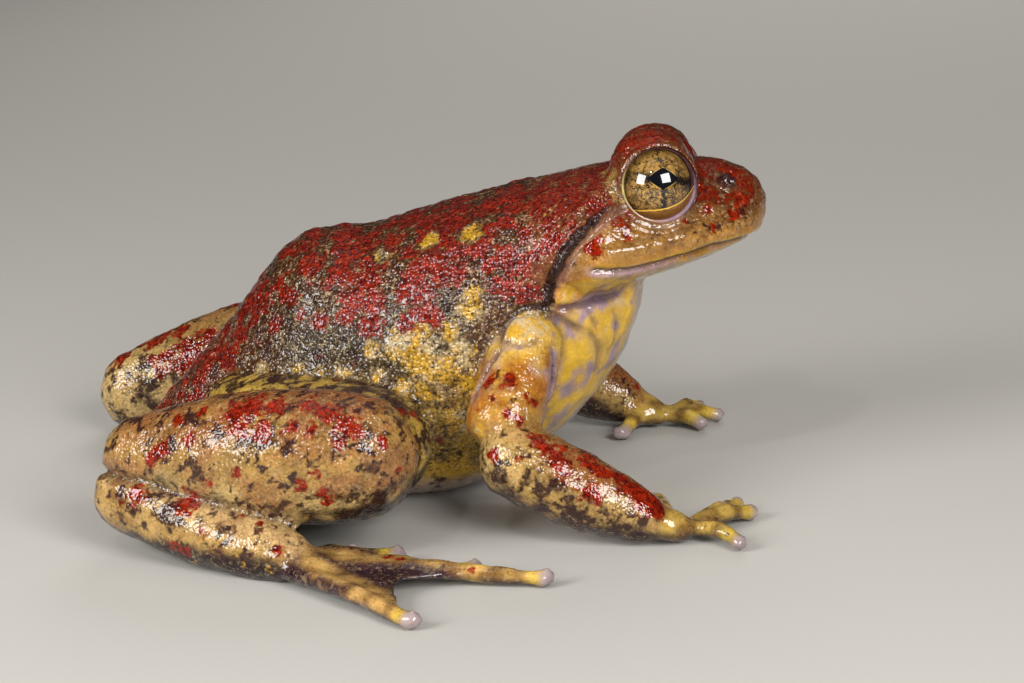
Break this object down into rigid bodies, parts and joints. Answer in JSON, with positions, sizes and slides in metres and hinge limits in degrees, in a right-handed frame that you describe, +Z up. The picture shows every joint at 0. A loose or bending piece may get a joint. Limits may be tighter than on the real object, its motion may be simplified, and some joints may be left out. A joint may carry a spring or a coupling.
{
  "type": "life-size spiny frog model",
  "caption": "A sitting spiny frog with red mottled back, yellow flanks, golden eyes with diamond pupils, folded hind legs and webbed feet, as a still life-size model.",
  "frame": {"origin": "The middle of the belly's resting flat, on the floor that the frog sits on.", "axes": "+X runs towards the snout, +Y to the frog's left and +Z up, away from the floor."},
  "size_m": [0.1093, 0.1295, 0.0553],
  "materials": {
    "head": "wet skin, blood red with brown mottling",
    "torso": "wet granular skin, olive brown and red above, yellow flanks",
    "jaw": "wet skin, yellow with lilac-grey patches",
    "limb": "wet skin, ochre with red and dark brown blotches",
    "digit": "wet skin, ochre with dark bands and lilac-grey round tips",
    "eye": "polished, golden brown iris under a clear cornea"
  },
  "bodies": {
    "root": {"head": "head", "lower_jaw": "jaw", "torso": "torso", "eye_right": "eye", "eye_left": "eye", "upper_arm_right": "limb", "forearm_right": "limb", "hand_right": "digit", "finger_1_right": "digit", "finger_2_right": "digit", "finger_3_right": "digit", "finger_4_right": "digit", "thigh_right": "limb", "shank_right": "limb", "tarsus_right": "limb", "foot_right": "digit", "upper_arm_left": "limb", "forearm_left": "limb", "hand_left": "digit", "finger_1_left": "digit", "finger_2_left": "digit", "finger_3_left": "digit", "finger_4_left": "digit", "thigh_left": "limb", "shank_left": "limb", "tarsus_left": "limb", "foot_left": "digit"}
  },
  "joints": []
}
